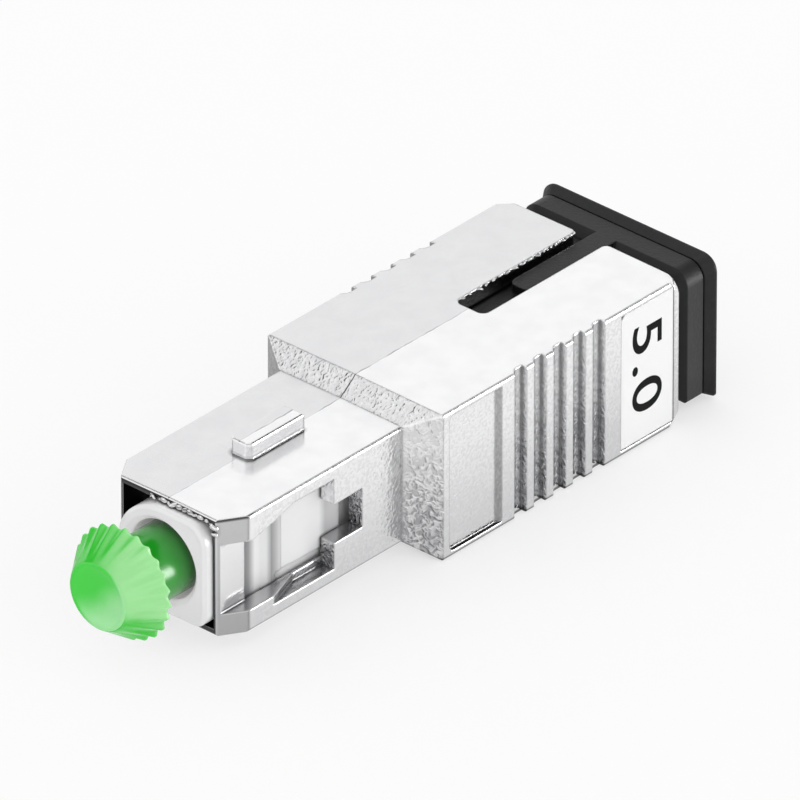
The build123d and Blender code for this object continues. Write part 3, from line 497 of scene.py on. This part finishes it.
# Ink, printed: flat black with hardly any gloss
ink = even_surface(
    "black_ink_printed", "#020202", "#060606", mottle_mm=0.4, grain_mm=0.1, relief_mm=0.0005,
    Roughness=0.6, Specular_IOR_Level=0.1,
)

for node, material in (
    ("housing", casting), ("value_label", film), ("plug_frame", white_pbt),
    ("ferrule", zirconia), ("split_sleeve", zirconia), ("attenuating_fibre", silica),
    ("ferrule_flange", steel), ("spring_stop", steel), ("ferrule_spring", spring_steel),
    ("front_sleeve_holder", holder_pei), ("latch_insert", holder_pei), ("port_plug", black_rubber),
):
    slots = nodes[node].data.materials
    slots.clear()
    slots.append(material)


# Geometry Nodes

def new_tree(name, inputs):
    """Modifier tree with a geometry input and named inputs, and its group input node."""
    tree = bpy.data.node_groups.new(name, "GeometryNodeTree")
    tree.interface.new_socket("Geometry", in_out="OUTPUT", socket_type="NodeSocketGeometry")
    tree.interface.new_socket("Geometry", in_out="INPUT", socket_type="NodeSocketGeometry")
    for title, kind in inputs.items():
        tree.interface.new_socket(title, in_out="INPUT", socket_type=kind)
    return tree, add(tree, "NodeGroupInput").outputs


def finish_tree(tree, given, geometry):
    """Realizes the geometry, gives it the material input and sends it out."""
    real = add(tree, "GeometryNodeRealizeInstances", [geometry])
    smooth = add(tree, "GeometryNodeSetShadeSmooth", [real])
    dressed = add(tree, "GeometryNodeSetMaterial", {"Geometry": smooth, "Material": given["Material"]})
    add(tree, "NodeGroupOutput", [dressed])


def grown(name, mesh, tree, **values):
    """Plain mesh object that the tree makes from a mesh, with its named inputs set first."""
    holder = bpy.data.objects.new(name, mesh)
    scene.collection.objects.link(holder)
    modifier = holder.modifiers.new("tree", "NODES")
    modifier.node_group = tree
    for item in tree.interface.items_tree:
        key = item.name.replace(" ", "_")
        if item.in_out == "INPUT" and key in values:
            modifier[item.identifier] = values[key]
    evaluated = holder.evaluated_get(bpy.context.evaluated_depsgraph_get())
    result = bpy.data.meshes.new_from_object(evaluated)
    holder.modifiers.remove(modifier)
    holder.data = result
    return holder


# Ferrule cap, turned as a plain lathe shape and then fluted by a rule

def lathe(name, profile, sides):
    """Closed mesh turned round X from a profile of (x, radius), radius 0 at both ends."""
    shape = bmesh.new()
    angles = [2 * math.pi * i / sides for i in range(sides)]
    rings = []
    for x, radius in profile:
        if radius == 0:
            rings.append([shape.verts.new((x, 0, 0))])
            continue
        rings.append([shape.verts.new((x, radius * math.cos(a), radius * math.sin(a))) for a in angles])
    for first, second in zip(rings, rings[1:]):
        for i in range(sides):
            j = (i + 1) % sides
            corners = [
                first[i % len(first)], first[j % len(first)],
                second[j % len(second)], second[i % len(second)],
            ]
            shape.faces.new(dict.fromkeys(corners))
    bmesh.ops.recalc_face_normals(shape, faces=shape.faces)
    mesh = bpy.data.meshes.new(name)
    shape.to_mesh(mesh)
    shape.free()
    return mesh


def cap_profile():
    """Dish, rounded front rim, fluted cone, back rim, shank and the socket for the ferrule."""
    dish = [(-5.4, 0), (-5.41, 0.5), (-5.45, 0.95), (-5.52, 1.35), (-5.61, 1.65), (-5.68, 1.78)]
    front_rim = [(-5.7, 1.86), (-5.7, 1.98), (-5.68, 2.03)]
    steps = 12
    cone = [(-5.66 + 1.92 * i / steps, 2.06 + 1.35 * i / steps) for i in range(steps + 1)]
    back_rim = [(-3.7, 3.435), (-3.66, 3.45), (-3.54, 3.45), (-3.5, 3.41)]
    shank = [(-3.5, 2.3), (-3.48, 2.15), (-3.4, 2.1), (-3.35, 2.1), (2.85, 2.1), (2.97, 2.05), (3.0, 1.95)]
    socket = [(3.0, 1.45), (2.92, 1.3), (-2.9, 1.27), (-2.9, 0)]
    points = dish + front_rim + cone + back_rim + shank + socket
    return [(x * MM, radius * MM) for x, radius in points]


def flute_tree():
    """Rule of the flutes: round valleys between narrow rounded lands, deeper to the back."""
    tree, given = new_tree("cap_flutes", {
        "Flutes": "NodeSocketInt", "Depth": "NodeSocketFloat",
        "Front X": "NodeSocketFloat", "Back X": "NodeSocketFloat",
        "Inner Radius": "NodeSocketFloat", "Inner Slope": "NodeSocketFloat",
        "Land Roundness": "NodeSocketFloat", "Land Turn": "NodeSocketFloat",
        "Material": "NodeSocketMaterial",
    })
    x, y, z = add(tree, SPLIT, [add(tree, "GeometryNodeInputPosition")]).outputs
    y_squared = add(tree, MATH, [y, y], operation="MULTIPLY")
    z_squared = add(tree, MATH, [z, z], operation="MULTIPLY")
    radius_squared = add(tree, MATH, [y_squared, z_squared], operation="ADD")
    radius = add(tree, MATH, [radius_squared], operation="SQRT")
    # A valley is the rounded size of a sine, which is 0 on the middle of each land
    round_axis = add(tree, MATH, [z, y], operation="ARCTAN2")
    angle = add(tree, MATH, [round_axis, given["Land Turn"]], operation="ADD")
    half_flutes = add(tree, MATH, [given["Flutes"], 0.5], operation="MULTIPLY")
    half_turns = add(tree, MATH, [angle, half_flutes], operation="MULTIPLY")
    swing = add(tree, MATH, [half_turns], operation="SINE")
    soft = add(tree, MATH, [given["Land Roundness"], 2.0], operation="POWER")
    softened = add(tree, MATH, [swing, swing, soft], operation="MULTIPLY_ADD")
    size = add(tree, MATH, [softened], operation="SQRT")
    valley = add(tree, MATH, [size, given["Land Roundness"]], operation="SUBTRACT")
    along = add(tree, FADE, [x, given["Front X"], given["Back X"], 0.08, 1.0])
    deeper = add(tree, MATH, [along, 1.7], operation="POWER")
    cut = add(tree, MATH, [valley, deeper], operation="MULTIPLY")
    cut = add(tree, MATH, [cut, given["Depth"]], operation="MULTIPLY")
    left = add(tree, MATH, [radius, cut], operation="SUBTRACT")
    not_zero = add(tree, MATH, [radius, 1e-6], operation="MAXIMUM")
    scale = add(tree, MATH, [left, not_zero], operation="DIVIDE")
    new_y = add(tree, MATH, [y, scale], operation="MULTIPLY")
    new_z = add(tree, MATH, [z, scale], operation="MULTIPLY")
    moved = add(tree, "ShaderNodeCombineXYZ", [x, new_y, new_z])
    # Only the cone and its rims are outside this line, so the shank stays round
    behind = add(tree, MATH, [x, given["Front X"]], operation="SUBTRACT")
    limit = add(
        tree, MATH, [behind, given["Inner Slope"], given["Inner Radius"]], operation="MULTIPLY_ADD",
    )
    chosen = add(tree, "FunctionNodeCompare", [radius, limit], operation="GREATER_THAN")
    fluted = add(tree, "GeometryNodeSetPosition", [given["Geometry"], chosen, moved])
    finish_tree(tree, given, fluted)
    return tree


FLUTES = 24
SIDES_PER_FLUTE = 12
# The lands are turned by a seventh of a flute, as in the photograph
LAND_TURN = -0.14 * 2 * math.pi / FLUTES

cap = grown(
    "fluted_cap", lathe("fluted_cap", cap_profile(), FLUTES * SIDES_PER_FLUTE), flute_tree(),
    Flutes=FLUTES, Depth=0.34 * MM, Front_X=-5.7 * MM, Back_X=-3.7 * MM, Inner_Radius=2.0 * MM,
    Inner_Slope=0.5, Land_Roundness=0.4, Land_Turn=LAND_TURN, Material=green_pe,
)
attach(cap, "cap")
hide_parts("ferrule_cap")
# Its green doesn't tint the white and the metal round it, as in the photograph
cap.visible_diffuse = False
cap.visible_glossy = False


# Spring behind the ferrule's flange


def shortening_spring():
    """Copy of the CAD spring, carried with the inner assembly."""
    solid = nodes["ferrule_spring"]
    coil = solid.data.copy()
    coil.transform(solid.matrix_world)
    spring = bpy.data.objects.new("shortening_spring", coil)
    scene.collection.objects.link(spring)
    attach(spring, "inner_assembly")
    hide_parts("ferrule_spring")
    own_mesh(spring)


shortening_spring()


# Flash of the casting: small bright beads left along the edges of its openings

def bead_tree():
    """Beads along a line: random size, turn and offset, from one seed."""
    tree, given = new_tree("flash_beads", {
        "Spacing": "NodeSocketFloat", "Smallest": "NodeSocketVector",
        "Largest": "NodeSocketVector", "Scatter": "NodeSocketVector",
        "Seed": "NodeSocketInt", "Material": "NodeSocketMaterial",
    })
    line = add(tree, "GeometryNodeMeshToCurve", {"Mesh": given["Geometry"]})
    points = add(
        tree, "GeometryNodeResampleCurve", {"Curve": line, "Length": given["Spacing"]}, mode="LENGTH",
    )
    back = add(tree, VECTOR_MATH, {"Vector": given["Scatter"], "Scale": -1.0}, operation="SCALE")
    offset, size, turn = [
        add(
            tree, "FunctionNodeRandomValue", {"Min": low, "Max": high, "Seed": given["Seed"]},
            data_type="FLOAT_VECTOR",
        )
        for low, high in (
            (back, given["Scatter"]), (given["Smallest"], given["Largest"]), ((-0.5,) * 3, (0.5,) * 3),
        )
    ]
    shifted = add(tree, "GeometryNodeSetPosition", {"Geometry": points, "Offset": offset})
    bead = add(tree, "GeometryNodeMeshIcoSphere", {"Radius": 1.0, "Subdivisions": 2})
    placed = add(tree, "GeometryNodeInstanceOnPoints", {
        "Points": shifted, "Instance": bead, "Rotation": turn, "Scale": size,
    })
    finish_tree(tree, given, placed)
    return tree


def millimetres(values):
    """Metres from a list of millimetres."""
    return [value * MM for value in values]


def line_mesh(name, points_mm):
    """Mesh of one open line through the points."""
    mesh = bpy.data.meshes.new(name)
    edges = [(i, i + 1) for i in range(len(points_mm) - 1)]
    mesh.from_pydata([millimetres(point) for point in points_mm], edges, [])
    return mesh


# Name, line, spacing, smallest and largest half sizes, and scatter in mm, and seed
FLASH = (
    ("front_lip_beads",
     ((-0.05, 1.0, 3.45), (-0.05, -2.9, 3.44), (-0.05, -3.42, 3.3), (-0.05, -3.46, 2.8)),
     0.36, (0.08, 0.14, 0.08), (0.13, 0.34, 0.17), (0.01, 0.08, 0.03), 4),
    ("keyway_beads", ((25.2, 1.04, 4.6), (30.0, 1.04, 4.6)),
     0.55, (0.1, 0.06, 0.06), (0.28, 0.1, 0.12), (0.15, 0.02, 0.03), 7),
    ("keyway_rear_beads", ((30.0, 1.04, 4.6), (34.4, 1.04, 4.6)),
     0.3, (0.08, 0.06, 0.06), (0.24, 0.1, 0.12), (0.1, 0.03, 0.03), 9),
)
beads = bead_tree()
for name, points_mm, spacing, smallest, largest, scatter, seed in FLASH:
    strip = grown(
        name, line_mesh(name, points_mm), beads, Spacing=spacing * MM, Smallest=millimetres(smallest),
        Largest=millimetres(largest), Scatter=millimetres(scatter), Seed=seed, Material=casting,
    )
    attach(strip, "shell")


# Number on the value label

DIGIT_HEIGHT = 2.45 * MM
DIGIT_STRETCH = 1.3
INK_THICKNESS = 0.006 * MM
# Makes each stroke bolder, as a share of the letter size
STROKE_GROWTH = 0.006
NUMBER_TOP_X = 33.25 * MM
NUMBER_MIDDLE_Z = 0.2 * MM


def number_on_label(text):
    """Number that reads downwards on the label, printed a hair proud of it."""
    curve = bpy.data.curves.new("value_number", "FONT")
    curve.body = text
    curve.extrude = INK_THICKNESS
    curve.offset = STROKE_GROWTH
    curve.space_character = 1.1
    lettering = bpy.data.objects.new("value_number", curve)
    scene.collection.objects.link(lettering)
    bpy.context.view_layer.update()
    evaluated = lettering.evaluated_get(bpy.context.evaluated_depsgraph_get())
    mesh = bpy.data.meshes.new_from_object(evaluated)
    bpy.data.objects.remove(lettering)
    low = Vector([min(v.co[i] for v in mesh.vertices) for i in range(3)])
    high = Vector([max(v.co[i] for v in mesh.vertices) for i in range(3)])
    grow = DIGIT_HEIGHT / (high.y - low.y)
    middle = Vector(((low.x + high.x) / 2, high.y, 0))
    # Reading direction down, the digits' tops to the receptacle end, facing out of the label
    turn = Matrix(((0, 1, 0, 0), (0, 0, -1, 0), (-1, 0, 0, 0), (0, 0, 0, 1)))
    label_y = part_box("value_label")[0].y
    mesh.transform(
        Matrix.Translation((NUMBER_TOP_X, label_y, NUMBER_MIDDLE_Z)) @ turn
        @ Matrix.Diagonal((DIGIT_STRETCH * grow, grow, 1, 1)) @ Matrix.Translation(-middle)
    )
    mesh.materials.clear()
    mesh.materials.append(ink)
    made = bpy.data.objects.new("value_number", mesh)
    scene.collection.objects.link(made)
    return made


number = number_on_label("5.0")
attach(number, "shell")


# Stage

def make_stage():
    """Pale floor that shows white to the camera and keeps the object's soft shadow."""
    material, tree, shader = new_material("pale_paper_floor")
    tree.nodes.remove(shader)
    paper = add(tree, "ShaderNodeBsdfDiffuse", {"Color": colour("#FCFCFC")})
    glow = add(tree, "ShaderNodeEmission", {"Color": colour("#FFFFFF"), "Strength": 1.0})
    glowing_share = 0.6
    to_camera = add(tree, "ShaderNodeMixShader", [glowing_share, paper, glow])
    path = add(tree, "ShaderNodeLightPath").outputs
    both = add(tree, "ShaderNodeMixShader", [path["Is Camera Ray"], paper, to_camera])
    join(tree, both, tree.nodes["Material Output"].inputs["Surface"])
    floor_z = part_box("housing")[0].z
    half = 3.0
    corners = [(-half, -half, floor_z), (half, -half, floor_z), (half, half, floor_z), (-half, half, floor_z)]
    mesh = bpy.data.meshes.new("floor")
    mesh.from_pydata(corners, [], [(0, 1, 2, 3)])
    mesh.materials.append(material)
    floor = bpy.data.objects.new("floor", mesh)
    scene.collection.objects.link(floor)
    floor.visible_glossy = False


# Panels below the horizon: compass angle in degrees, and brightness
LOW_PANELS = (
    (-180, 0.4), (-168, 0.88), (-156, 0.84), (-145, 0.8), (-130, 0.72), (-117, 0.64), (-98, 0.5),
    (-88, 0.35), (-82, 0.4), (-76, 0.75), (-60, 0.88), (-42, 0.93), (56, 0.85), (66, 0.4),
    (110, 0.34), (150, 0.34), (166, 0.4), (180, 0.4),
)
# Dark panels overhead, which draw a line under each top edge: direction, angles in degrees
# within which each is full and beyond which it is gone, and brightness
HIGH_PANELS = (
    ((0.63, 0.03, 0.77), 18, 26, 0.04),
    ((0.63, -0.42, 0.65), 7, 11, 0.04),
    ((-0.1, -0.57, 0.81), 22, 38, 0.4),
    ((0.16, 0.57, 0.8), 8, 18, 0.04),
    ((-0.2, 0.85, 0.45), 8, 22, 0.04),
)
# Brightness overhead between the panels
OPEN_SKY = 1.01
# One bright card low on the right, for the highlight on the cap's shank
CARD = ((0.62, -0.78, -0.08), 10, 17, 9.0)


def in_cone(tree, direction, toward, full, gone, outside, inside):
    """One value outside a cone round a direction and another inside, angles in degrees."""
    along = add(
        tree, VECTOR_MATH, [direction, Vector(toward).normalized()], operation="DOT_PRODUCT",
    )
    edges = [math.cos(math.radians(angle)) for angle in (gone, full)]
    return add(tree, FADE, [along, *edges, outside, inside], **SMOOTH)


def make_world():
    """White studio for the light, with grey and dark panels that only reflections show."""
    world = bpy.data.worlds.new("studio")
    scene.world = world
    world.use_nodes = True
    tree = world.node_tree
    direction = add(tree, "ShaderNodeTexCoord").outputs["Generated"]
    axes = add(tree, SPLIT, [direction]).outputs
    path = add(tree, "ShaderNodeLightPath").outputs
    compass = add(tree, MATH, [axes["Y"], axes["X"]], operation="ARCTAN2")
    share = add(tree, MATH, [compass, 0.5 / math.pi, 0.5], operation="MULTIPLY_ADD")
    low = add(tree, "ShaderNodeValToRGB", [share])
    set_stops(low.color_ramp, LOW_PANELS, -180, 180)
    high = OPEN_SKY
    for toward, full, gone, level in HIGH_PANELS:
        panel = in_cone(tree, direction, toward, full, gone, 1.0, level)
        high = add(tree, MATH, [high, panel], operation="MULTIPLY")
    toward, full, gone, level = CARD
    card = in_cone(tree, direction, toward, full, gone, 0.0, level)
    high = add(tree, MATH, [high, card], operation="ADD")
    upper = add(tree, FADE, [axes["Z"], -0.34, -0.1, 0.0, 1.0], **SMOOTH)
    seen = add(tree, MIX, [upper, low, high], data_type="FLOAT")
    # A little less light from the front
    lit = add(tree, FADE, [axes["X"], -0.9, 0.1, 0.56, 1.07], **SMOOTH)
    plain = add(tree, MIX, [path["Is Glossy Ray"], lit, seen], data_type="FLOAT")
    shown = add(tree, MIX, [path["Is Camera Ray"], plain, 1.0], data_type="FLOAT")
    background = tree.nodes["Background"]
    background.inputs["Color"].default_value = colour("#FFFFFF")
    join(tree, shown, background.inputs["Strength"])


def area_lamp(name, location, size, power):
    """Round soft lamp aimed at the middle of the object."""
    data = bpy.data.lights.new(name, "AREA")
    data.shape = "DISK"
    data.size = size
    data.energy = power
    lamp = bpy.data.objects.new(name, data)
    lamp.location = location
    aim = Vector((16 * MM, 0, 0)) - Vector(location)
    lamp.rotation_mode = "QUATERNION"
    lamp.rotation_quaternion = aim.to_track_quat("-Z", "Y")
    scene.collection.objects.link(lamp)


LINE_OF_SIGHT = (0.6276, 0.5745, -0.5256)
CAMERA_DISTANCE = 1.4
# Where the picture's middle is from the origin, to the right and up
AIM_RIGHT = 12.624 * MM
AIM_UP = 8.397 * MM


def make_camera():
    """Long lens, on the line of sight of the photograph."""
    forward = Vector(LINE_OF_SIGHT).normalized()
    right = forward.cross(Vector((0, 0, 1))).normalized()
    up = right.cross(forward)
    data = bpy.data.cameras.new("camera")
    data.sensor_width = 36.0
    data.lens = 1160.4
    data.clip_start = 0.01
    data.clip_end = 20
    camera = bpy.data.objects.new("camera", data)
    camera.location = -CAMERA_DISTANCE * forward
    sight = AIM_RIGHT * right + AIM_UP * up - camera.location
    camera.rotation_mode = "QUATERNION"
    camera.rotation_quaternion = sight.to_track_quat("-Z", "Y")
    scene.collection.objects.link(camera)
    scene.camera = camera


make_stage()
make_world()
area_lamp("overhead", location=(0.05, 0.12, 0.4), size=0.35, power=0.06)
area_lamp("right_side", location=(0.276, -0.303, 0.08), size=0.1, power=0.04)
make_camera()
scene.view_settings.view_transform = "Standard"
